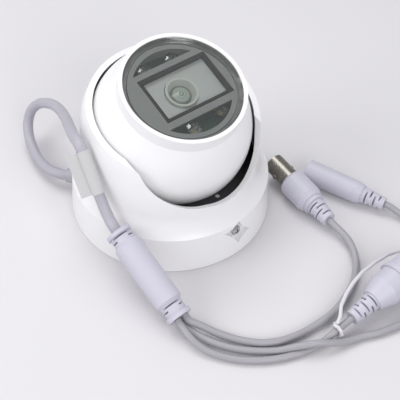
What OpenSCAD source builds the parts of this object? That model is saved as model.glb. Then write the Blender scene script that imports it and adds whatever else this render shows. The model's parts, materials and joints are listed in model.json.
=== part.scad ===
// Turret (eyeball) CCTV camera with its lead, splitter and three plug-ended tails.
// Millimetres, +Z up, origin at the centre of the base's underside.

/* [Base] */
// Diameter of the base at its foot
base_d = 90; // [75:1:112]
// Height of the seam between base and cover
seam_h = 18.5; // [17:0.5:24]
// Wall of the base
base_wall = 2.6; // [2:0.1:3.2]
// Floor of the base
floor_t = 2.5; // [2:0.1:4]
// Pitch circle of the mounting holes
mount_pcd = 56; // [40:1:58]
// Mounting hole
mount_hole_d = 4.6; // [3:0.1:6]
// Radius of the opening in the floor
floor_opening_r = 13; // [6:0.5:18]

/* [Cover] */
// Wall of the cover
cover_wall = 2.5; // [1.8:0.1:3]
// Play between the ball and the cover
ball_play = 1; // [0.6:0.1:1.6]
// Height of the rim of the opening on the centre line
rim_h = 56.5; // [50:0.5:62]
// Slope of the rim
rim_slope = 13; // [0:1:18]
// Side play of the bezel in the slot
slot_play = 0.8; // [0.5:0.1:2]

/* [Ball] */
// Diameter of the ball
ball_d = 71; // [60:1:80]
// Height of the ball's centre
ball_h = 44.5; // [43:0.5:52]
// Wall of the ball
shell_t = 2.2; // [1.6:0.1:3]
// Direction in which the lens leans, about the vertical
aim_turn = -50; // [-90:1:0]
// Lean of the lens axis from the vertical
aim_tilt = 18; // [0:1:60]
// Turn of the lens module about its own axis
aim_roll = 89; // [-180:1:180]
// Largest lean that the slot lets through
tilt_max = 68; // [30:1:70]

/* [Window] */
// Radius of the window glass
glass_r = 25.4; // [20:0.1:27]
// Thickness of the window glass
glass_t = 2; // [1:0.1:3]
// Distance from the ball's centre to the glass face
glass_out = 28.8; // [27:0.1:31]
// Width of the bezel round the glass
bezel_w = 1.8; // [1.2:0.1:3]

/* [Lens] */
// Outer length of the lens hood
hood_l = 34; // [24:0.5:36]
// Outer width of the lens hood
hood_w = 22; // [18:0.5:24]
// Radius of the lens thread
lens_r = 6; // [4:0.1:7]

/* [Lead] */
// Diameter of the main lead
lead_d = 4.8; // [4:0.1:5.2]
// Diameter of the video tail
video_d = 3.2; // [2.4:0.1:3.4]
// Diameter of the power and sound tails
thin_d = 3; // [2:0.1:3.1]
// Radius of the splitter moulding
splitter_r = 6.1; // [5:0.1:6.4]

/* [Hidden] */
$fn = 96;
eps = 0.01;
fit = 0.05;                              // running clearance on a radius
seat = 0.3;                              // gap where a ring stands off the ball
base_r = base_d/2;
base_top_r = base_r - 1;                 // the wall drafts in to the seam
ball_r = ball_d/2;
cover_in_r = ball_r + ball_play;
cover_r = cover_in_r + cover_wall;
bezel_r = glass_r + bezel_w;
bezel_top = glass_out + 0.4;
slot_r = bezel_r + slot_play;
lock_turn = -46;                         // place of the lock screw about the vertical
lock_h = 12;                             // height of the lock screw
gland_turn = 174;                        // place of the lead's outlet
gland_h = 6.9;

// cover skirt, which turns inside the base
skirt_r = base_top_r - base_wall - 0.2;
skirt_t = 2;
skirt_bottom = seam_h - 3;
lug_t = 1.2;
lug_out = 1;
lug_span = 16;                           // degrees
groove_play = 0.2;

// clamp ring under the ball, with the collar that the lock screw bears on
collar_r = cover_in_r - 0.2;
collar_t = 1.8;
collar_bottom = 9.8;
ring_top = ball_h - ball_r*0.475;
ring_bottom = ball_h - ball_r*0.62;

// stack along the lens axis, measured from the ball's centre
glass_back = glass_out - glass_t;
seal_t = 0.8;
ledge_top = glass_back - seal_t;
ledge_t = 1.5;
ledge_r = glass_r - 2;
split_z = -ball_r*0.535;
inside_r = ball_r - shell_t;
flange_r = 23.5;                         // bore of the joint flange
led_board_top = 20.6;
board_t = 1.6;
led_board_r = ledge_r - 1;
plate_t = 1.6;
sensor_top = 1;
main_top = -10;
board_r = 20;
post_place = 17;
shell_boss_place = ledge_r + 1.9;
cap_screw_place = flange_r + 1.3;
boot_seat = -ball_r + 4.9;               // outside of the rear cap's flat
boot_r = 4.42;

// splitter: from its top end to its foot end
split_from = [-20.1, -44.9, 24.4];
split_to = [6.9, -74.7, 6.5];
split_l = norm(split_to - split_from);

// plug axes: rear end, then front end
video_from = [71.6, -17, 5.5];
video_to = [47.6, 15, 8.7];
power_from = [97.6, -5.6, 4.6];
power_to = [63.7, 13.3, 5.9];
sound_from = [77.7, -71.8, 5.6];
sound_to = [106.4, -45.9, 11.1];

// a point beside or behind the end of a piece that is laid along an axis
function ahead(from, to) = (to - from)/norm(to - from);
function behind(from, to, back) = from - back*ahead(from, to);
foot_side = [0.741, 0.671, 0];
foot_up = cross(ahead(split_from, split_to), foot_side);
function foot(side, up, out) = split_to + out*ahead(split_from, split_to) + side*foot_side + up*foot_up;
gland_way = [cos(gland_turn), sin(gland_turn), 0];
function at_outlet(r) = r*gland_way + [0, 0, gland_h];

// routes of the free leads, chosen by hand
lead_route = [at_outlet(43.6), at_outlet(48.6), [-53.4, 7, 6.6], [-58.4, 11.4, 5.4], [-63.6, 19, 4.8],
    [-67.8, 28.2, 6.2], [-69.2, 34.6, 10.5], [-67.6, 37.4, 16.5], [-63.5, 35.8, 22.5], [-58.6, 30.6, 28],
    [-53.6, 23, 33.5], [-49, 13.5, 38.5], [-45.4, 3, 43.4], [-42.6, -6.6, 47.6], [-40, -14.8, 50.8],
    [-37.8, -19.8, 52], [-35.8, -23.2, 51.2], [-33.3, -26.8, 45.8], [-30.7, -30.3, 40.3],
    [-28.2, -33.9, 34.9], [-26.4, -36.4, 30.8], [-24, -40, 27.3],
    behind(split_from, split_to, 2.6), behind(split_from, split_to, 0.15)];
video_route = [foot(2, 0.9, 0.15), foot(2, 0.9, 3), [15.4, -77, 4.6], [21.4, -79, 3], [27.6, -80.8, 2],
    [33.7, -82.2, 1.7], [40.6, -82.9, 1.7], [48, -81.6, 1.7], [54.6, -78.8, 1.7], [60.6, -75, 1.8],
    [65.7, -71.2, 2.2], [69.8, -67.6, 2.4], [73.7, -62.6, 2.3], [77.6, -55.9, 2], [80.8, -48.4, 1.8],
    [82.4, -39.8, 1.8], [81.6, -31.6, 2.8], [78.8, -26, 4.2], behind(video_from, video_to, 3),
    behind(video_from, video_to, 0.15)];
power_route = [foot(0, -1.7, 0.15), foot(0, -1.7, 3), [14.6, -80.4, 2.3], [21.2, -83.6, 1.8], [27.6, -85.6, 1.6],
    [33.7, -86.6, 1.6], [40.6, -86.8, 1.6], [47.5, -86.4, 1.8], [53, -85.9, 3.4], [58.6, -85.6, 5.1],
    [63.9, -84.6, 5.4], [69.4, -83.5, 4], [75.4, -81.1, 2.2], [81.8, -78.1, 1.6], [89.4, -75.8, 1.6],
    [98.2, -71.4, 1.6], [107, -66, 1.6], [114.4, -58.4, 1.6], [118.8, -47.6, 1.6], [119.4, -36, 1.6],
    [116.4, -25, 1.7], [111, -16.4, 2.1], [104.8, -10.6, 3.4], behind(power_from, power_to, 3),
    behind(power_from, power_to, 0.15)];
sound_route = [foot(-2, 0.9, 0.15), foot(-2, 0.9, 3), [11.4, -83.2, 4.4], [16, -86.8, 2.9], [21.5, -89.2, 1.9],
    [27.6, -90.8, 1.6], [33.6, -91.5, 1.6], [40.5, -91.3, 1.6], [47.8, -90, 1.6], [54.6, -87.8, 1.6],
    [60, -85.2, 1.6], [64.6, -82.4, 1.6], [68.4, -79.4, 2.9], [72, -76.7, 4.5],
    behind(sound_from, sound_to, 3), behind(sound_from, sound_to, 0.15)];
clamp_at = 30.8;                         // distance of the cable clamp from the centre
inner_route = [at_outlet(43.4), at_outlet(36), at_outlet(clamp_at), at_outlet(27.6), [-23, 0, 7.2], [-20.6, -6, 8],
    [-20, -13.4, 10.2], [-16.4, -20.8, 13], [-9.4, -26.2, 15.2], [-1, -28.4, 16.4], [7, -27.6, 16.8]];
tie_at = [71.6, -77.1, 4.3];             // where the wire tie is twisted round the sound tail
tie_route = concat([for (a = [330:40:690]) tie_at + 2.9*[0.6*sin(a), -0.75*sin(a), cos(a)] + [0.75, 0.6, 0]*(a - 510)/200],
    [[72.4, -73.4, 8.6], [73.1, -68.4, 9.2], [75.6, -62, 9.2], [78.9, -56, 9], [83.2, -49.8, 8.6], [89.3, -43.6, 8],
    [95.5, -38.2, 7.2], [101.8, -34.4, 6], [107.6, -31.4, 3.6]]);

// ---- placing ----

module at_ball() translate([0, 0, ball_h]) rotate([0, 0, aim_turn]) rotate([0, aim_tilt, 0]) children();
module at_lens() at_ball() rotate([0, 0, aim_roll]) children();
module round_copies(count, place, first = 0)
    for (i = [0:count - 1]) rotate([0, 0, first + 360*i/count]) translate([place, 0, 0]) children();

// Lays a shape drawn along +Z from one point towards another.
module along(from, to) {
    d = to - from;
    translate(from) rotate([0, 0, atan2(d.y, d.x)]) rotate([0, atan2(norm([d.x, d.y]), d.z), 0]) children();
}

module tube(outer, inner, low, high) difference() {
    translate([0, 0, low]) cylinder(r = outer, h = high - low);
    translate([0, 0, low - 1]) cylinder(r = inner, h = high - low + 2);
}

// ---- leads: one tube swept along a smooth curve through the route's points ----

function curve_point(p, i, t) = let(
    n = len(p) - 1, a = p[max(i - 1, 0)], b = p[i], c = p[i + 1], d = p[min(i + 2, n)])
    0.5*(2*b + (c - a)*t + (2*a - 5*b + 4*c - d)*t*t + (3*b - a - 3*c + d)*t*t*t);
function curve(p, steps) = [for (i = [0:len(p) - 2]) for (k = [0:steps - 1]) curve_point(p, i, k/steps),
    p[len(p) - 1]];
function unit(v) = v/norm(v);
function heading(p, i) = unit(p[min(i + 1, len(p) - 1)] - p[max(i - 1, 0)]);
function carried(side, ahead) = unit(side - (side*ahead)*ahead);
function sides(p, i = 0, last = [0.1, 0.2, 1]) = i == len(p) ? []
    : let(s = carried(last, heading(p, i))) concat([s], sides(p, i + 1, s));

module swept(route, d, around = 8, steps = 1) {
    p = curve(route, steps);
    s = sides(p);
    rings = len(p);
    points = [for (i = [0:rings - 1]) for (k = [0:around - 1])
        p[i] + d/2*(cos(360*k/around)*s[i] + sin(360*k/around)*cross(heading(p, i), s[i]))];
    walls = [for (i = [0:rings - 2]) for (k = [0:around - 1])
        [i*around + k, i*around + (k + 1)%around, (i + 1)*around + (k + 1)%around, (i + 1)*around + k]];
    ends = [[for (k = [around - 1:-1:0]) k], [for (k = [0:around - 1]) (rings - 1)*around + k]];
    polyhedron(points, concat([for (w = walls) [w[3], w[2], w[1], w[0]]],
        [for (e = ends) [for (k = [len(e) - 1:-1:0]) e[k]]]));
}

// ---- base ----

module recess_outline(grow = 0) polygon([for (i = [0:3]) for (q = [0, 1])
    let(tips = [[-7.4 - grow, 3.6], [0, 6.6 + grow], [7 + grow, -2.6], [0, -6.4 - grow]],
        a = tips[i], b = tips[(i + 1)%4]) q == 0 ? a : (a + b)/2*0.82]);

module at_lock() rotate([0, 0, lock_turn]) translate([0, 0, lock_h]) rotate([0, 90, 0]) rotate([0, 0, 90]) children();
pocket_floor = base_top_r - base_wall + 0.4;

module base_body() {
    cylinder(r1 = base_r, r2 = base_top_r, h = seam_h);
}
module lock_boss() intersection() {
    rotate([0, 0, lock_turn]) translate([collar_r + 0.4, -8, floor_t - eps])
        cube([base_r - collar_r - 1, 16, skirt_bottom - 0.8 - floor_t]);
    translate([0, 0, 0]) cylinder(r = base_top_r - base_wall/2, h = seam_h);
}
module base() color("whitesmoke") difference() {
    union() {
        difference() {
            base_body();
            translate([0, 0, floor_t]) cylinder(r = skirt_r + 0.2, h = seam_h);
        }
        lock_boss();
    }
    // bayonet groove, and the three slots through which the cover's lugs drop
    translate([0, 0, skirt_bottom - groove_play]) cylinder(r = skirt_r + lug_out + groove_play + 0.2,
        h = lug_t + 2*groove_play);
    for (i = [0:2]) rotate([0, 0, 80 + 120*i]) translate([0, 0, skirt_bottom])
        rotate_extrude(angle = lug_span + 4) translate([skirt_r - 1, 0]) square([lug_out + 1.6, 5]);
    translate([0, 0, -1]) cylinder(r = floor_opening_r, h = floor_t + 2);
    round_copies(3, mount_pcd/2, 20) translate([0, 0, -1]) cylinder(d = mount_hole_d, h = floor_t + 2);
    // gasket groove in the underside
    translate([0, 0, -1]) tube(base_r - 3, base_r - 6.5, 0, 2.2);
    // outlet of the lead
    at_gland() translate([0, 0, -6]) cylinder(r = gland_bore, h = 12);
    // lock screw: pocket, hole and seat of its insert
    at_lock() translate([0, 0, pocket_floor]) linear_extrude(10) recess_outline();
    at_lock() cylinder(r = 1.75, h = base_r);
    at_lock() translate([0, 0, collar_r + 0.3]) cylinder(r = 2.4, h = 3);
}
module base_gasket() color("dimgray") tube(base_r - 3 - fit, base_r - 6.5 + fit, 0, 1.2);
module lock_insert() color("goldenrod") at_lock() tube(2.4 - 0.02, 1.58, collar_r + 0.6, collar_r + 3.3);
module lock_screw() color("silver") at_lock() difference() {
    union() {
        translate([0, 0, collar_r + seat]) cylinder(r = 1.5, h = pocket_floor - collar_r);
        translate([0, 0, pocket_floor + 0.1]) cylinder(r = 2.3, h = 1.2);
        translate([0, 0, pocket_floor + 1.3]) intersection() {
            cylinder(r = 2.3, h = 1);
            translate([0, 0, -3.2]) sphere(r = 3.95);
        }
    }
    for (a = [0, 90]) rotate([0, 0, a]) translate([-1.5, -0.25, pocket_floor + 1.1]) cube([3, 0.5, 3]);
}

// ---- outlet of the lead ----

gland_bore = lead_d/2 + 1.2;
module at_gland() rotate([0, 0, gland_turn]) translate([base_r - 2, 0, gland_h]) rotate([0, 90, 0]) children();
module cable_gland() color("silver") at_gland() difference() {
    union() {
        translate([0, 0, -2.2]) cylinder(r = gland_bore - fit, h = 4.4);
        translate([0, 0, -3.4]) cylinder(r = gland_bore + 0.6, h = 1.3);
        translate([0, 0, 2.2]) cylinder(r1 = gland_bore - fit, r2 = lead_d/2 + 0.8, h = 2.8);
    }
    translate([0, 0, -5]) cylinder(r = lead_d/2 + fit, h = 14);
}

// ---- cover ----

module slot_cut(turn, far) translate([0, 0, ball_h]) rotate([0, 0, turn]) {
    rotate([0, far, 0]) cylinder(r = slot_r, h = cover_r*2);
    // the wedge that the bezel sweeps between upright and full lean
    rotate([90, 0, 0]) translate([0, 0, 0.15 - slot_r]) linear_extrude(2*slot_r - 0.3)
        polygon(concat([[0, 0]], [for (a = [90:-7:90 - far]) 2*cover_r*[cos(a), sin(a)]],
            [2*cover_r*[sin(far), cos(far)]]));
}
module cover_outside() {
    translate([0, 0, ball_h]) sphere(r = cover_r);
    translate([0, 0, ball_h - 14]) cylinder(r1 = cover_r + 0.9, r2 = cover_r, h = 14);
    // flare down to the seam
    rotate_extrude() difference() {
        translate([0, seam_h]) square([base_top_r, ball_h - 14 - seam_h]);
        translate([cover_r + 0.9 + flare_r, ball_h - 14]) circle(r = flare_r);
    }
}
// arc that leaves the tapered wall and meets the base's edge at the seam
flare_w = base_top_r - cover_r - 0.9;
flare_h = ball_h - 14 - seam_h;
flare_r = (flare_w*flare_w + flare_h*flare_h)/(2*flare_w);

module cover_inside() {
    translate([0, 0, ball_h]) sphere(r = cover_in_r);
    translate([0, 0, -1]) cylinder(r = cover_in_r + 0.6, h = ball_h - 5);
    translate([0, 0, -1]) cylinder(r = skirt_r - skirt_t, h = seam_h + 3);
    translate([0, 0, ball_h - 6.01]) cylinder(r1 = cover_in_r + 0.6, r2 = cover_in_r, h = 6.01);
}
module cover() color("whitesmoke") difference() {
    union() {
        intersection() {
            cover_outside();
            translate([0, 0, seam_h]) cylinder(r = base_r, h = 60);
        }
        translate([0, 0, skirt_bottom]) cylinder(r = skirt_r, h = seam_h + 0.5 - skirt_bottom);
        for (i = [0:2]) rotate([0, 0, 20 + 120*i]) translate([0, 0, skirt_bottom])
            rotate_extrude(angle = lug_span) translate([skirt_r - 0.5, 0]) square([lug_out + 0.5, lug_t]);
    }
    cover_inside();
    rotate([0, 0, aim_turn]) translate([0, 0, rim_h]) rotate([0, rim_slope, 0])
        translate([-60, -60, 0]) cube([120, 120, 60]);
    slot_cut(aim_turn, tilt_max);
    slot_cut(aim_turn - 11, tilt_max - 2);
    slot_cut(aim_turn - 20, tilt_max - 20);
}
module clamp_ring() color("dimgray") difference() {
    union() {
        translate([0, 0, collar_bottom]) cylinder(r = collar_r, h = ring_bottom - collar_bottom + eps);
        translate([0, 0, ring_bottom]) cylinder(r = cover_in_r + 0.6 - fit, h = ring_top - ring_bottom);
    }
    translate([0, 0, ball_h]) sphere(r = ball_r + seat);
    translate([0, 0, -1]) cylinder(r = collar_r - collar_t, h = ring_bottom);
    translate([0, 0, -1]) cylinder(r = ball_r*0.76, h = 60);
    round_copies(3, clamp_screw_place, 190) translate([0, 0, ring_bottom - 1.6]) cylinder(r = 1.15, h = 12);
}
clamp_screw_place = collar_r - collar_t - 1.6;
module clamp_screws() color("silver") round_copies(3, clamp_screw_place, 190) {
    translate([0, 0, ring_bottom - 2.35]) cylinder(r = 1.5, h = 1.3);
    translate([0, 0, ring_bottom - 1.06]) cylinder(r = 1, h = ring_top - ring_bottom + 0.8);
}

// ---- ball ----

module ball_shell() color("whitesmoke") at_ball() difference() {
    union() {
        intersection() {
            sphere(r = ball_r);
            translate([0, 0, split_z]) cylinder(r = ball_r + 1, h = glass_out - split_z - 4);
        }
        cylinder(r = bezel_r, h = bezel_top);
    }
    difference() {
        intersection() {
            sphere(r = inside_r);
            translate([0, 0, split_z - 5]) cylinder(r = ball_r, h = ledge_top - ledge_t - split_z + 5);
        }
        // joint flange round the mouth
        tube(ball_r, flange_r, split_z - 6, split_z + 4.5);
        // three bosses that carry the lens module
        round_copies(3, shell_boss_place, 30) translate([0, 0, led_board_top - board_t])
            cylinder(r = 2.4, h = 10);
    }
    cylinder(r = ledge_r, h = ball_r);
    translate([0, 0, ledge_top]) cylinder(r = glass_r + fit, h = ball_r);
    // seal groove and screw holes in the joint face
    tube(flange_r + 3.9, flange_r + 2.5, split_z - 1, split_z + 1);
    round_copies(3, cap_screw_place, 90) translate([0, 0, split_z - 1]) cylinder(r = 1, h = 5);
    round_copies(3, shell_boss_place, 30) translate([0, 0, led_board_top - board_t - 1]) cylinder(r = 0.8, h = 4.4);
}
module rear_cap() color("gainsboro") at_ball() difference() {
    intersection() {
        sphere(r = ball_r);
        translate([0, 0, boot_seat]) cylinder(r = ball_r, h = split_z - boot_seat);
    }
    intersection() {
        sphere(r = inside_r);
        translate([0, 0, boot_seat + 2.4]) cylinder(r = flange_r - 0.5, h = 60);
    }
    translate([0, 0, boot_seat - 1]) cylinder(r = boot_r + 0.08, h = 6);
    round_copies(3, cap_screw_place, 90) {
        translate([0, 0, split_z - 6]) cylinder(r = 1.15, h = 8);
        translate([0, 0, split_z - 14.4]) cylinder(r = 2, h = 12);
    }
}
module shell_seal() color("black") at_ball() tube(flange_r + 3.9 - fit, flange_r + 2.5 + fit, split_z, split_z + 1);
module cap_screws() color("silver") at_ball() round_copies(3, cap_screw_place, 90) {
    translate([0, 0, split_z - 3.7]) cylinder(r = 1.8, h = 1.3);
    translate([0, 0, split_z - 2.5]) cylinder(r = 0.95, h = 6);
}
module cable_boot() color("dimgray") at_ball() difference() {
    union() {
        translate([0, 0, boot_seat - 1.2]) cylinder(r = 6.4, h = 1.1);
        translate([0, 0, boot_seat - 0.2]) cylinder(r = boot_r, h = 3);
        translate([0, 0, boot_seat + 2.5]) cylinder(r = 6, h = 1.1);
    }
    translate([0, 0, boot_seat - 3]) cylinder(r = lead_d/2, h = 10);
}
module ball_lead() color("silver") at_ball() translate([0, 0, boot_seat - 3.4])
    cylinder(r = lead_d/2 - fit, h = 11.4);

// ---- window and lens hood ----

module window_glass() color("darkslategray", 0.4) at_ball() translate([0, 0, glass_back])
    cylinder(r = glass_r, h = glass_t);
module window_seal() color("black") at_ball() tube(glass_r, ledge_r + 0.2, ledge_top, glass_back);

hood_x = 2.5;                            // the hood is off the lens axis
hood_y = 0.9;
hood_wall = 1.3;
hood_foot = led_board_top;
panel_top = 24.2;
module light_window(side, chord, out) intersection() {
    translate([0, 0, 0]) cylinder(r = out, h = 40);
    translate([-30 + 60, 0, 0]) cylinder(r = 52, h = 40);
    translate([-50, side > 0 ? chord : -chord - 30, 0]) cube([100, 30, 40]);
}
module mask_plate() color("darkseagreen") at_lens() difference() {
    union() {
        translate([0, 0, glass_back - 1]) cylinder(r = ledge_r - 0.3, h = 0.8);
        tube(led_board_r, led_board_r - 1.1, led_board_top, glass_back - 0.9);
    }
    translate([hood_x, hood_y, 0]) translate([-hood_l/2 - 0.25, -hood_w/2 - 0.25, 0])
        cube([hood_l + 0.5, hood_w + 0.5, 60]);
    light_window(1, 14.8, led_board_r - 1.4);
    light_window(-1, 13.4, led_board_r - 1.4);
}
module lens_hood() color("black") at_lens() difference() {
    translate([hood_x - hood_l/2, hood_y - hood_w/2, hood_foot]) cube([hood_l, hood_w, glass_back - hood_foot - 0.1]);
    translate([hood_x - hood_l/2 + hood_wall, hood_y - hood_w/2 + hood_wall, hood_foot - 1])
        cube([hood_l - 2*hood_wall, hood_w - 2*hood_wall, 20]);
}
module lens_panel() color("silver") at_lens() difference() {
    union() {
        translate([hood_x - hood_l/2 + hood_wall + fit, hood_y - hood_w/2 + hood_wall + fit, panel_top - 1])
            cube([hood_l - 2*hood_wall - 2*fit, hood_w - 2*hood_wall - 2*fit, 1]);
        tube(lens_r + 2.4, lens_r + 1.4, hood_foot, panel_top - 0.5);
    }
    translate([0, 0, hood_foot - 1]) cylinder(r = lens_r + 1.3, h = 10);
}

// ---- lens ----

lens_front = 25.6;
module lens_barrel() color("dimgray") at_ball() difference() {
    union() {
        translate([0, 0, 6]) cylinder(r = lens_r, h = 15);
        translate([0, 0, 20.8]) cylinder(r = lens_r + 1.1, h = lens_front - 20.8);
    }
    translate([0, 0, 5]) cylinder(r = lens_r - 1.4, h = 30);
    translate([0, 0, 22.6]) cylinder(r1 = lens_r - 1.4, r2 = lens_r + 0.3, h = 3.3);
}
module front_element() color("lightsteelblue", 0.5) at_ball() intersection() {
    translate([0, 0, 17.8]) cylinder(r = lens_r - 1.45, h = 8);
    translate([0, 0, 14.6]) sphere(r = 9.6);
}
module rear_elements() color("lightsteelblue", 0.5) at_ball() for (z = [8, 13]) intersection() {
    translate([0, 0, z]) cylinder(r = lens_r - 1.45, h = 3.4);
    translate([0, 0, z - 8.2]) sphere(r = 11.4);
}
module lens_holder() color("black") at_ball() difference() {
    union() {
        translate([-8.5, -8.5, sensor_top]) cube([17, 17, 5]);
        translate([0, 0, 5]) cylinder(r = lens_r + 1.9, h = 11);
    }
    translate([0, 0, 5]) cylinder(r = lens_r + fit, h = 20);
    translate([-7, -7, sensor_top - 1]) cube([14, 14, 5.2]);
}
module ir_filter() color("indianred", 0.6) at_ball() translate([-6.95, -6.95, sensor_top + 2.6]) cube([13.9, 13.9, 0.6]);
module image_sensor() color("darkslategray") at_ball() translate([-5.5, -4.5, sensor_top]) cube([11, 9, 1.8]);

// ---- boards and what carries them ----

module sensor_board() color("darkgreen") at_ball() difference() {
    translate([0, 0, sensor_top - board_t]) cylinder(r = board_r, h = board_t);
    round_copies(3, post_place, 30) translate([0, 0, sensor_top - board_t - 1]) cylinder(r = 1, h = board_t + 2);
}
module led_board() color("darkslategray") at_ball() difference() {
    translate([0, 0, led_board_top - board_t]) cylinder(r = led_board_r, h = board_t);
    translate([0, 0, led_board_top - board_t - 1]) cylinder(r = lens_r + 2.4, h = board_t + 2);
}
led_spots = [[-7, 16.2], [7, 16.2], [-5, -16.4], [10.5, -14]];
module leds() color("khaki") at_lens() for (p = led_spots) translate([p.x, p.y, led_board_top]) {
    translate([-1.4, -1.4, 0]) cube([2.8, 2.8, 0.8]);
    translate([0, 0, 0.5]) cylinder(r = 1.1, h = 0.8);
}
module led_lenses() color("white", 0.5) at_lens() for (p = led_spots) translate([p.x, p.y, led_board_top]) difference() {
    cylinder(r1 = 2.6, r2 = 3.3, h = 3.4);
    translate([-1.5, -1.5, -1]) cube([3, 3, 2.5]);
}
bracket_top = led_board_top - board_t;
module module_bracket() color("silver") at_ball() difference() {
    union() {
        translate([0, 0, bracket_top - plate_t]) cylinder(r = led_board_r, h = plate_t);
        round_copies(3, shell_boss_place, 30) translate([0, 0, bracket_top - plate_t]) cylinder(r = 1.9, h = plate_t);
        round_copies(3, led_board_r - 2, 30) translate([0, -1.7, bracket_top - plate_t])
            cube([shell_boss_place - led_board_r + 2, 3.4, plate_t]);
        round_copies(3, post_place, 30) translate([0, 0, sensor_top]) cylinder(r = 2.2, h = bracket_top - plate_t - sensor_top + 0.5);
    }
    translate([0, 0, bracket_top - plate_t - 1]) cylinder(r = lens_r + 2.3, h = plate_t + 2);
    round_copies(3, shell_boss_place, 30) translate([0, 0, bracket_top - plate_t - 1]) cylinder(r = 0.95, h = plate_t + 2);
    round_copies(3, post_place, 30) translate([0, 0, sensor_top - 1]) cylinder(r = 0.85, h = 6);
}
module bracket_screws() color("silver") at_ball() round_copies(3, shell_boss_place, 30) {
    translate([0, 0, bracket_top - plate_t - 1.2]) cylinder(r = 1.6, h = 1.2);
    translate([0, 0, bracket_top - plate_t]) cylinder(r = 0.75, h = plate_t + 2.8);
}
module board_posts() color("goldenrod") at_ball() round_copies(3, post_place, 30) difference() {
    union() {
        translate([0, 0, main_top]) cylinder(r = 2, h = sensor_top - board_t - main_top);
        translate([0, 0, sensor_top - board_t - 1]) cylinder(r = 0.8, h = board_t + 4);
    }
    translate([0, 0, main_top - 1]) cylinder(r = 0.85, h = 5);
}
module main_board() color("darkgreen") at_ball() difference() {
    translate([0, 0, main_top - board_t]) cylinder(r = board_r, h = board_t);
    round_copies(3, post_place, 30) translate([0, 0, main_top - board_t - 1]) cylinder(r = 1, h = board_t + 2);
}
module main_chip() color("black") at_ball() translate([-6, -6, main_top - board_t - 1.2]) cube([12, 12, 1.2]);
module board_parts() color("gray") at_ball() {
    translate([9, 5, main_top]) cylinder(r = 2.6, h = 6);
    translate([10, -5, main_top]) cylinder(r = 2.6, h = 6);
    translate([-12, -4, main_top]) cube([7, 7, 3.4]);
    translate([-4, 9, main_top]) cube([9, 4.4, 4.2]);
    translate([-4, -14, main_top]) cube([8, 5, 2.4]);
}
module heat_sink() color("silver") at_ball() translate([0, 0, main_top - board_t - 1.2]) {
    translate([-8, -8, -1.6]) cube([16, 16, 1.6]);
    for (i = [-3:3]) if (abs(i) > 1) translate([i*2.4 - 0.6, -8, -4.4]) cube([1.2, 16, 3]);
}
module board_screws() color("silver") at_ball() round_copies(3, post_place, 30) {
    translate([0, 0, main_top - board_t - 1.1]) cylinder(r = 1.6, h = 1.1);
    translate([0, 0, main_top - board_t]) cylinder(r = 0.8, h = board_t + 3);
}

// ---- main lead, its inner end and its tag ----

module main_lead() color("silver") swept(lead_route, lead_d, 10);
module inner_lead() color("silver") swept(inner_route, lead_d, 8);
module lead_clamp() color("dimgray") rotate([0, 0, gland_turn]) translate([clamp_at, 0, 0]) difference() {
    translate([-2.6, -lead_d/2 - 1.4, floor_t]) cube([5.2, lead_d + 2.8, gland_h + lead_d/2 + 1 - floor_t]);
    translate([-10, 0, gland_h]) rotate([0, 90, 0]) cylinder(r = lead_d/2 + fit, h = 20);
}
module lead_header() color("ivory") translate([7.3, -27.6, 16.8]) rotate([0, 0, 5]) translate([0, -3.5, -2.6])
    cube([7, 7, 5.2]);
tag_from = [-35.5, -23.6, 50.5];
tag_to = [-28.5, -33.5, 35.6];
tag_turn = -71;                          // side to which the tag's flag points
module cable_tag() color("white") along(tag_from, tag_to) difference() {
    union() {
        cylinder(r = lead_d/2 + 0.5, h = norm(tag_to - tag_from));
        rotate([0, 0, tag_turn]) translate([0, -0.25, 0.4])
            cube([lead_d/2 + 5, 0.5, norm(tag_to - tag_from) - 0.8]);
    }
    translate([0, 0, -1]) cylinder(r = lead_d/2 + 0.2, h = 60);
}

// ---- splitter ----

module relief_cuts(outer, first, pitch, count) for (i = [0:count - 1]) for (s = [0, 1])
    rotate([0, 0, 90*(i%2) + 180*s + 20]) translate([outer*0.45, -outer, first + pitch*i]) cube([outer, 2*outer, pitch*0.4]);
module splitter() color("silver") along(split_from, split_to) difference() {
    union() {
        cylinder(r = splitter_r - 1.3, h = split_l);
        translate([0, 0, 7]) cylinder(r = splitter_r, h = split_l - 15);
        translate([0, 0, 5.5]) cylinder(r1 = splitter_r - 1.3, r2 = splitter_r, h = 1.5 + eps);
        translate([0, 0, split_l - 8 - eps]) cylinder(r1 = splitter_r, r2 = splitter_r - 1.3, h = 1.5);
        cylinder(r = splitter_r - 0.5, h = 1.6);
        translate([0, 0, split_l - 2]) cylinder(r = splitter_r - 0.5, h = 2);
    }
    relief_cuts(splitter_r, 2, 1.7, 2);
    translate([0, 0, split_l - 6.4]) relief_cuts(splitter_r, 0, 1.7, 2);
}

// ---- tails and their connectors ----

module video_tail() color("silver") swept(video_route, video_d, 8);
module power_tail() color("silver") swept(power_route, thin_d, 8);
module sound_tail() color("silver") swept(sound_route, thin_d, 8);

video_r = 6.6;
video_l = norm(video_to - video_from);
barrel_from = 22;                        // the barrel's seat in its moulding
module video_moulding() color("silver") along(video_from, video_to) difference() {
    union() {
        cylinder(r1 = 3.4, r2 = 4.4, h = 10.5);
        translate([0, 0, 10]) cylinder(r = 5.2, h = 3);
        translate([0, 0, 12]) cylinder(r1 = 5.6, r2 = video_r, h = 2.6);
        translate([0, 0, 14.5]) cylinder(r = video_r, h = 11.5);
        translate([0, 0, 25.9]) cylinder(r1 = video_r, r2 = video_r - 0.8, h = 1.2);
    }
    relief_cuts(4, 2, 2, 4);
    translate([0, 0, barrel_from]) cylinder(r = 4.8 + fit, h = 10);
}
module video_shell() color("gainsboro") along(video_from, video_to) difference() {
    union() {
        translate([0, 0, barrel_from]) cylinder(r = 4.8, h = video_l - barrel_from);
        translate([0, 0, video_l - 7]) rotate([90, 0, 0]) translate([0, 0, -5.5]) cylinder(r = 1, h = 11);
    }
    translate([0, 0, barrel_from + 2]) cylinder(r = 4.1, h = 30);
}
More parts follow.
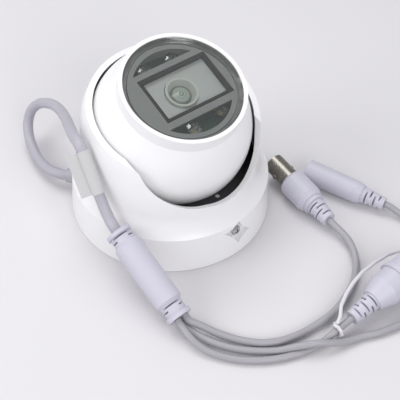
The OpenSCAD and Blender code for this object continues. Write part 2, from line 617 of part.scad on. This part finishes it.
module video_insulator() color("white") along(video_from, video_to) difference() {
    translate([0, 0, barrel_from + 2]) cylinder(r = 2.4, h = video_l - barrel_from - 6);
    translate([0, 0, barrel_from + 4]) cylinder(r = 1.1 + fit, h = 30);
}
module video_contact() color("gold") along(video_from, video_to) difference() {
    translate([0, 0, barrel_from + 4]) cylinder(r = 1.1, h = video_l - barrel_from - 8.6);
    translate([0, 0, video_l - 10]) cylinder(r = 0.7, h = 10);
}
power_r = 5.5;
power_l = norm(power_to - power_from);
module power_moulding() color("silver") along(power_from, power_to) difference() {
    union() {
        cylinder(r1 = 2.9, r2 = 3.9, h = 11.5);
        translate([0, 0, 11]) cylinder(r1 = 4.4, r2 = 5.1, h = 3);
        translate([0, 0, 13.9]) cylinder(r1 = 5.1, r2 = power_r, h = power_l - 13.9);
    }
    relief_cuts(3.6, 2, 2.1, 4);
    translate([0, 0, power_l - 12]) cylinder(r = 3.5, h = 20);
}
module power_sleeve() color("gainsboro") along(power_from, power_to) tube(3.45, 2.8, power_l - 11.5, power_l - 0.6);
module power_pin() color("gainsboro") along(power_from, power_to) {
    translate([0, 0, power_l - 12]) cylinder(r = 1.05, h = 10.5);
    translate([0, 0, power_l - 12]) cylinder(r = 2.75, h = 1.5);
}
sound_r = 7.6;
sound_l = norm(sound_to - sound_from);
module sound_moulding() color("silver") along(sound_from, sound_to) difference() {
    union() {
        cylinder(r1 = 3.2, r2 = 4.2, h = 12.5);
        translate([0, 0, 12]) cylinder(r1 = 4.9, r2 = sound_r, h = 7.6);
        translate([0, 0, 19.5]) cylinder(r = sound_r, h = 6.5);
    }
    relief_cuts(3.8, 2, 2.1, 5);
    translate([0, 0, 22]) cylinder(r = 5 + fit, h = 10);
}
module sound_collar() color("silver") along(sound_from, sound_to) difference() {
    union() {
        translate([0, 0, 26]) cylinder(r = sound_r + 1, h = 2.2);
        translate([0, 0, 28]) cylinder(r = sound_r + 0.3, h = sound_l - 28);
    }
    translate([0, 0, 25]) cylinder(r = 5 + fit, h = 4.4);
    translate([0, 0, 29]) cylinder(r = sound_r - 0.9, h = 20);
}
module sound_socket() color("gainsboro") along(sound_from, sound_to) difference() {
    translate([0, 0, 22]) cylinder(r = 5, h = sound_l - 23.5);
    for (a = [45:90:315]) rotate([0, 0, a]) translate([2.4, 0, sound_l - 7]) cylinder(r = 0.6, h = 20);
}
module wire_tie() color("white") swept(tie_route, 1.6, 8);

base();
base_gasket();
lock_insert();
lock_screw();
cable_gland();
cover();
clamp_ring();
clamp_screws();
ball_shell();
rear_cap();
shell_seal();
cap_screws();
cable_boot();
ball_lead();
window_glass();
window_seal();
mask_plate();
lens_hood();
lens_panel();
lens_barrel();
front_element();
rear_elements();
lens_holder();
ir_filter();
image_sensor();
sensor_board();
led_board();
leds();
led_lenses();
module_bracket();
bracket_screws();
board_posts();
main_board();
main_chip();
board_parts();
heat_sink();
board_screws();
main_lead();
inner_lead();
lead_clamp();
lead_header();
cable_tag();
splitter();
video_tail();
power_tail();
sound_tail();
video_moulding();
video_shell();
video_insulator();
video_contact();
power_moulding();
power_sleeve();
power_pin();
sound_moulding();
sound_collar();
sound_socket();
wire_tie();
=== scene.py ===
import bpy, math, json
from mathutils import Vector, Matrix


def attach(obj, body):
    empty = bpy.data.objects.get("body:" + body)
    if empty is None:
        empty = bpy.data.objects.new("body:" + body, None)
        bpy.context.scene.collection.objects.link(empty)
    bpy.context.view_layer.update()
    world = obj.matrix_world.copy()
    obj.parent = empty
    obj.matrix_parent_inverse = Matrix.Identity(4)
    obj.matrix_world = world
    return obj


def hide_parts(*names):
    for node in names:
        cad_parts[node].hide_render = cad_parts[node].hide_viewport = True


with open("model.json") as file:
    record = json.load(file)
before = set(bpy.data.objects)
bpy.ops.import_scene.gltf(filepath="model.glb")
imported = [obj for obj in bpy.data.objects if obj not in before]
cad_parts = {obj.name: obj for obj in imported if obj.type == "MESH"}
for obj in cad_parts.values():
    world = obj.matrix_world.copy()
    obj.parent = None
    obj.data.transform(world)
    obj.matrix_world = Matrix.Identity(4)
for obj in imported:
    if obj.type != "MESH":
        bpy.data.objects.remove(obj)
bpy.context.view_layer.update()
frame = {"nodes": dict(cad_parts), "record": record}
mm = 0.001


def vec(p):
    return Vector(p) * mm


# the ball's centre and the way the lens points, from the joints
joints = {j["name"]: j for j in frame["record"]["behaviour"]["joints"]}
ballCentre = Vector(joints["ball_tilt"]["pos_m"])
aim = Vector(joints["ball_roll"]["axis"]).normalized()

# the camera looks down at the front, turned a little about its own axis
shot = {"raise": 46.5, "roll": 1.61, "away": 500.0, "at": (13.73, 0.0, -1.97), "lens": 97.2}
look = Vector((0, math.cos(math.radians(shot["raise"])), -math.sin(math.radians(shot["raise"]))))
over = Vector((0, math.sin(math.radians(shot["raise"])), math.cos(math.radians(shot["raise"]))))
turn = math.radians(shot["roll"])
right = Vector((1, 0, 0)) * math.cos(turn) + over * math.sin(turn)
upward = -Vector((1, 0, 0)) * math.sin(turn) + over * math.cos(turn)
eye = bpy.data.cameras.new("view")
eye.lens = shot["lens"]
eye.sensor_width = 36
eye.clip_start = 0.01
camera = bpy.data.objects.new("view", eye)
place = Matrix((right, upward, -look)).transposed().to_4x4()
place.translation = vec(shot["at"]) - look * shot["away"] * mm
camera.matrix_world = place
bpy.context.scene.collection.objects.link(camera)
bpy.context.scene.camera = camera
print("camera placed")


# finishes
looks = {}


def material(name, colour, rough=0.45, metal=0.0, **more):
    m = looks[name] = bpy.data.materials.new(name)
    m.use_nodes = True
    nodes, links = m.node_tree.nodes, m.node_tree.links
    shader = nodes["Principled BSDF"]
    shader.inputs["Base Color"].default_value = (*colour, 1)
    shader.inputs["Roughness"].default_value = rough
    shader.inputs["Metallic"].default_value = metal
    for key, value in more.get("inputs", {}).items():
        shader.inputs[key].default_value = value
    where = nodes.new("ShaderNodeTexCoord")
    grain = nodes.new("ShaderNodeTexNoise")
    grain.inputs["Scale"].default_value = more.get("grain", 900)
    grain.inputs["Detail"].default_value = 3
    links.new(where.outputs["Object"], grain.inputs["Vector"])
    spread = nodes.new("ShaderNodeMapRange")
    spread.inputs["To Min"].default_value = max(rough - more.get("vary", 0.05), 0.02)
    spread.inputs["To Max"].default_value = rough + more.get("vary", 0.05)
    links.new(grain.outputs["Fac"], spread.inputs["Value"])
    links.new(spread.outputs["Result"], shader.inputs["Roughness"])
    bump = nodes.new("ShaderNodeBump")
    bump.inputs["Strength"].default_value = more.get("bump", 0.06)
    bump.inputs["Distance"].default_value = more.get("deep", 0.0001)
    links.new(grain.outputs["Fac"], bump.inputs["Height"])
    links.new(bump.outputs["Normal"], shader.inputs["Normal"])
    blot = nodes.new("ShaderNodeTexNoise")
    blot.inputs["Scale"].default_value = more.get("patch", 40)
    links.new(where.outputs["Object"], blot.inputs["Vector"])
    tone = nodes.new("ShaderNodeMixRGB")
    tone.inputs["Color1"].default_value = (*[c * more.get("shade", 0.97) for c in colour], 1)
    tone.inputs["Color2"].default_value = (*colour, 1)
    links.new(blot.outputs["Fac"], tone.inputs["Fac"])
    links.new(tone.outputs["Color"], shader.inputs["Base Color"])
    return m


# linear colour from a 0 to 255 shade
def hue(r, g, b):
    return tuple(((c / 255 + 0.055) / 1.055) ** 2.4 if c > 10 else c / 255 / 12.92 for c in (r, g, b))


material("paint", hue(236, 235, 236), 0.34, grain=1500, bump=0.05,
         inputs={"Coat Weight": 0.25, "Coat Roughness": 0.2})
material("sheath", hue(172, 170, 179), 0.42, grain=700, bump=0.1, shade=0.93)
material("tailSheath", hue(160, 158, 164), 0.42, grain=700, bump=0.1, shade=0.93)
material("mould", hue(193, 191, 203), 0.46, grain=800, bump=0.12, shade=0.95)
# black plastic for the dark parts; on the clamp ring this black is painted shade in the gap under the ball
material("blackPlasticAndPaintedShade", hue(26, 28, 30), 0.5, shade=0.85)
material("hoodBlack", hue(6, 6, 8), 0.55, shade=0.85)
material("maskGrey", hue(166, 169, 168), 0.5)
material("panelGrey", hue(222, 226, 224), 0.5)
material("sealGrey", hue(158, 159, 158), 0.6)
material("darkRubber", hue(30, 32, 32), 0.6)
material("steel", hue(200, 200, 198), 0.26, 1.0, grain=2500)
material("nickel", hue(150, 146, 138), 0.28, 1.0, shade=0.7, patch=260)
material("brass", hue(196, 160, 96), 0.3, 1.0)
material("aluminium", hue(184, 186, 188), 0.4, 1.0)
material("boardGreen", hue(24, 78, 50), 0.4, patch=300, shade=0.7)
material("chipBlack", hue(28, 28, 30), 0.5)
material("barrelGrey", hue(236, 238, 233), 0.4)
material("ledYellow", hue(206, 196, 130), 0.3)
material("paper", hue(192, 192, 192), 0.7, grain=1800, bump=0.1)
material("tieWhite", hue(214, 212, 216), 0.5)
material("ivory", hue(226, 222, 206), 0.5)


def glassy(name, colour, clear, rough=0.03):
    m = looks[name] = bpy.data.materials.new(name)
    m.use_nodes = True
    nodes, links = m.node_tree.nodes, m.node_tree.links
    nodes.clear()
    out = nodes.new("ShaderNodeOutputMaterial")
    mix = nodes.new("ShaderNodeMixShader")
    through = nodes.new("ShaderNodeBsdfTransparent")
    through.inputs["Color"].default_value = (*colour, 1)
    shine = nodes.new("ShaderNodeBsdfGlossy")
    shine.inputs["Roughness"].default_value = rough
    edge = nodes.new("ShaderNodeFresnel")
    edge.inputs["IOR"].default_value = 1.45
    haze = nodes.new("ShaderNodeTexNoise")
    haze.inputs["Scale"].default_value = 60
    push = nodes.new("ShaderNodeMapRange")
    push.inputs["To Min"].default_value = clear
    push.inputs["To Max"].default_value = clear + 0.03
    total = nodes.new("ShaderNodeMath")
    total.operation = "ADD"
    links.new(haze.outputs["Fac"], push.inputs["Value"])
    links.new(edge.outputs["Fac"], total.inputs[0])
    links.new(push.outputs["Result"], total.inputs[1])
    links.new(total.outputs["Value"], mix.inputs["Fac"])
    links.new(through.outputs["BSDF"], mix.inputs[1])
    links.new(shine.outputs["BSDF"], mix.inputs[2])
    links.new(mix.outputs["Shader"], out.inputs["Surface"])
    return m


glassy("windowTint", (0.945, 0.955, 0.945), 0.02)
glassy("lensTint", (0.94, 0.96, 0.94), 0.10)
glassy("capTint", (0.85, 0.88, 0.85), 0.04)



lensReach = 4 * mm  # radius at which the last ring ends


# The front lens face is opaque: its rings are painted reflections and painted inner lens rings, which clear
# glass would show through it
def lensFace(name):
    m = material(name, hue(190, 200, 190), 0.08, bump=0.0, vary=0.01)
    nodes, links = m.node_tree.nodes, m.node_tree.links
    where = nodes.new("ShaderNodeTexCoord")
    shift = nodes.new("ShaderNodeVectorMath")
    shift.operation = "SUBTRACT"
    shift.inputs[1].default_value = ballCentre
    off = nodes.new("ShaderNodeVectorMath")
    off.operation = "CROSS_PRODUCT"
    off.inputs[1].default_value = aim
    far = nodes.new("ShaderNodeVectorMath")
    far.operation = "LENGTH"
    size = nodes.new("ShaderNodeMath")
    size.operation = "MULTIPLY"
    size.inputs[1].default_value = 1 / lensReach
    ramp = nodes.new("ShaderNodeValToRGB")
    rings = [
        (0.0, hue(226, 238, 224)), (0.1, hue(226, 238, 224)), (0.16, hue(126, 150, 132)),
        (0.27, hue(150, 172, 154)), (0.33, hue(224, 234, 224)), (0.45, hue(180, 194, 182)),
        (0.8, hue(196, 206, 196)), (1.0, hue(120, 128, 122))]
    while len(ramp.color_ramp.elements) < len(rings):
        ramp.color_ramp.elements.new(0.5)
    for stop, (at, colour) in zip(ramp.color_ramp.elements, rings):
        stop.position = at
        stop.color = (*colour, 1)
    links.new(where.outputs["Object"], shift.inputs[0])
    links.new(shift.outputs["Vector"], off.inputs[0])
    links.new(off.outputs["Vector"], far.inputs[0])
    links.new(far.outputs["Value"], size.inputs[0])
    links.new(size.outputs["Value"], ramp.inputs["Fac"])
    links.new(ramp.outputs["Color"], nodes["Principled BSDF"].inputs["Base Color"])


lensFace("lensPaintedReflections")

finishes = {
    "paint": ["base", "cover", "ball_shell", "rear_cap"],
    "sheath": ["ball_lead", "inner_lead", "cable_gland", "main_lead"],
    "tailSheath": ["video_tail", "power_tail", "sound_tail"],
    "mould": ["splitter", "video_moulding", "power_moulding", "sound_moulding", "sound_collar"],
    # clamp_ring gets this black as painted shade: it darkens the gap between the cover and the ball
    "blackPlasticAndPaintedShade": ["clamp_ring", "lens_holder", "cable_boot", "lead_clamp", "sound_socket"],
    "hoodBlack": ["lens_hood"],
    "maskGrey": ["mask_plate"],
    "panelGrey": ["lens_panel"],
    "barrelGrey": ["lens_barrel"],
    "darkRubber": ["base_gasket", "shell_seal"],
    "sealGrey": ["window_seal"],
    "steel": ["lock_screw", "clamp_screws", "cap_screws", "bracket_screws", "board_screws"],
    "nickel": ["video_shell", "power_sleeve", "power_pin"],
    "brass": ["lock_insert", "board_posts", "video_contact"],
    "aluminium": ["module_bracket", "heat_sink"],
    "boardGreen": ["sensor_board", "led_board", "main_board"],
    "chipBlack": ["image_sensor", "main_chip", "board_parts"],
    "ledYellow": ["leds"],
    "paper": ["cable_tag"],
    "tieWhite": ["wire_tie"],
    "ivory": ["lead_header", "video_insulator"],
    "windowTint": ["window_glass"],
    # the front lens gets the opaque face with painted reflections and painted rings
    "lensPaintedReflections": ["front_element"],
    "lensTint": ["rear_elements", "ir_filter"],
    "capTint": ["led_lenses"],
}
for name, nodes in finishes.items():
    for node in nodes:
        o = frame["nodes"][node]
        o.data.materials.clear()
        o.data.materials.append(looks[name])
print("materials set")


# cords, on the same routes as the solids
def ahead(a, b):
    return (Vector(b) - Vector(a)).normalized()


def behind(a, b, back):
    return Vector(a) - back * ahead(a, b)


plug = {
    "splitFrom": (-20.1, -44.9, 24.4), "splitTo": (6.9, -74.7, 6.5),
    "videoFrom": (71.6, -17, 5.5), "videoTo": (47.6, 15, 8.7),
    "powerFrom": (97.6, -5.6, 4.6), "powerTo": (63.7, 13.3, 5.9),
    "soundFrom": (77.7, -71.8, 5.6), "soundTo": (106.4, -45.9, 11.1),
}
splitWay = ahead(plug["splitFrom"], plug["splitTo"])
footSide = Vector((0.741, 0.671, 0))
footUp = splitWay.cross(footSide)


def foot(side, up, out):
    return Vector(plug["splitTo"]) + out * splitWay + side * footSide + up * footUp


outletWay = Vector((math.cos(math.radians(174)), math.sin(math.radians(174)), 0))


def outlet(r):
    return r * outletWay + Vector((0, 0, 6.9))


leads = {
    "mainLead": {"d": 4.8, "node": "main_lead", "route": [
        outlet(43.6), outlet(48.6), (-53.4, 7, 6.6), (-58.4, 11.4, 5.4), (-63.6, 19, 4.8),
        (-67.8, 28.2, 6.2), (-69.2, 34.6, 10.5), (-67.6, 37.4, 16.5), (-63.5, 35.8, 22.5), (-58.6, 30.6, 28),
        (-53.6, 23, 33.5), (-49, 13.5, 38.5), (-45.4, 3, 43.4), (-42.6, -6.6, 47.6), (-40, -14.8, 50.8),
        (-37.8, -19.8, 52), (-35.8, -23.2, 51.2), (-33.3, -26.8, 45.8), (-30.7, -30.3, 40.3),
        (-28.2, -33.9, 34.9), (-26.4, -36.4, 30.8), (-24, -40, 27.3),
        behind(plug["splitFrom"], plug["splitTo"], 2.6), behind(plug["splitFrom"], plug["splitTo"], 0.15)]},
    "videoTail": {"d": 3.2, "node": "video_tail", "route": [
        foot(2, 0.9, 0.15), foot(2, 0.9, 3), (15.4, -77, 4.6), (21.4, -79, 3), (27.6, -80.8, 2),
        (33.7, -82.2, 1.7), (40.6, -82.9, 1.7), (48, -81.6, 1.7), (54.6, -78.8, 1.7), (60.6, -75, 1.8),
        (65.7, -71.2, 2.2), (69.8, -67.6, 2.4), (73.7, -62.6, 2.3), (77.6, -55.9, 2), (80.8, -48.4, 1.8),
        (82.4, -39.8, 1.8), (81.6, -31.6, 2.8), (78.8, -26, 4.2),
        behind(plug["videoFrom"], plug["videoTo"], 3), behind(plug["videoFrom"], plug["videoTo"], 0.15)]},
    "powerTail": {"d": 3.0, "node": "power_tail", "route": [
        foot(0, -1.7, 0.15), foot(0, -1.7, 3), (14.6, -80.4, 2.3), (21.2, -83.6, 1.8), (27.6, -85.6, 1.6),
        (33.7, -86.6, 1.6), (40.6, -86.8, 1.6), (47.5, -86.4, 1.8), (53, -85.9, 3.4), (58.6, -85.6, 5.1),
        (63.9, -84.6, 5.4), (69.4, -83.5, 4), (75.4, -81.1, 2.2), (81.8, -78.1, 1.6), (89.4, -75.8, 1.6),
        (98.2, -71.4, 1.6), (107, -66, 1.6), (114.4, -58.4, 1.6), (118.8, -47.6, 1.6), (119.4, -36, 1.6),
        (116.4, -25, 1.7), (111, -16.4, 2.1), (104.8, -10.6, 3.4),
        behind(plug["powerFrom"], plug["powerTo"], 3), behind(plug["powerFrom"], plug["powerTo"], 0.15)]},
    "soundTail": {"d": 3.0, "node": "sound_tail", "route": [
        foot(-2, 0.9, 0.15), foot(-2, 0.9, 3), (11.4, -83.2, 4.4), (16, -86.8, 2.9), (21.5, -89.2, 1.9),
        (27.6, -90.8, 1.6), (33.6, -91.5, 1.6), (40.5, -91.3, 1.6), (47.8, -90, 1.6), (54.6, -87.8, 1.6),
        (60, -85.2, 1.6), (64.6, -82.4, 1.6), (68.4, -79.4, 2.9), (72, -76.7, 4.5),
        behind(plug["soundFrom"], plug["soundTo"], 3), behind(plug["soundFrom"], plug["soundTo"], 0.15)]},
}


def smooth(points, steps=6):
    pts = [Vector(p) for p in points]
    out = []
    for i in range(len(pts) - 1):
        a, b, c, d = pts[max(i - 1, 0)], pts[i], pts[i + 1], pts[min(i + 2, len(pts) - 1)]
        for k in range(steps):
            t = k / steps
            out.append(0.5 * (2 * b + (c - a) * t + (2 * a - 5 * b + 4 * c - d) * t * t
                              + (3 * b - a - 3 * c + d) * t * t * t))
    out.append(pts[-1])
    return out


def cordCurve(name, points, d, finish):
    data = bpy.data.curves.new(name, "CURVE")
    data.dimensions = "3D"
    data.bevel_depth = d / 2 * mm
    data.bevel_resolution = 6
    data.use_fill_caps = True
    line = smooth(points)
    spline = data.splines.new("POLY")
    spline.points.add(len(line) - 1)
    for point, p in zip(spline.points, line):
        point.co = (*vec(p), 1)
    spline.use_smooth = True
    data.materials.append(finish)
    o = bpy.data.objects.new(name, data)
    bpy.context.scene.collection.objects.link(o)
    length = sum((b - a).length for a, b in zip(line, line[1:]))
    return o, length * mm, vec(line[0])


for name, lead in leads.items():
    o, length, start = cordCurve(name, lead["route"], lead["d"],
                                 looks["sheath" if name == "mainLead" else "tailSheath"])
    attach(o, "mount_base")
    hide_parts(lead["node"])
print("cords laid")


# lights and ground
def lamp(name, where, at, power, size):
    data = bpy.data.lights.new(name, "AREA")
    data.energy = power
    data.shape = "DISK"
    data.size = size
    o = bpy.data.objects.new(name, data)
    o.location = where
    o.rotation_euler = (Vector(at) - Vector(where)).to_track_quat("-Z", "Y").to_euler()
    bpy.context.scene.collection.objects.link(o)


lamps = {
    "above": {"where": (-0.15, 0.25, 0.75), "at": (0, 0, 0), "power": 2.9, "size": 0.6},
    "left": {"where": (-0.6, -0.25, 0.45), "at": (0, 0, 0.02), "power": 2.3, "size": 0.5},
    "front": {"where": (0.35, -0.7, 0.5), "at": (0, 0, 0.02), "power": 3.5, "size": 0.6},
}
for name, light in lamps.items():
    lamp(name, light["where"], light["at"], light["power"], light["size"])

floor = {"size": 6, "drop": 0.0002, "colour": hue(211, 209, 212), "rough": 0.8}
bpy.ops.mesh.primitive_plane_add(size=floor["size"], location=(0, 0, -floor["drop"]))
ground = bpy.context.object
ground.name = "ground"
floorPale = bpy.data.materials.new("floorPale")
floorPale.use_nodes = True
floorShader = floorPale.node_tree.nodes["Principled BSDF"]
floorShader.inputs["Base Color"].default_value = (*floor["colour"], 1)
floorShader.inputs["Roughness"].default_value = floor["rough"]
ground.data.materials.append(floorPale)

room = {"colour": (0.95, 0.96, 1.0), "strength": 0.52}
world = bpy.data.worlds.new("room")
bpy.context.scene.world = world
world.use_nodes = True
world.node_tree.nodes["Background"].inputs["Color"].default_value = (*room["colour"], 1)
world.node_tree.nodes["Background"].inputs["Strength"].default_value = room["strength"]
bpy.context.scene.view_settings.view_transform = "Standard"
print("lit")
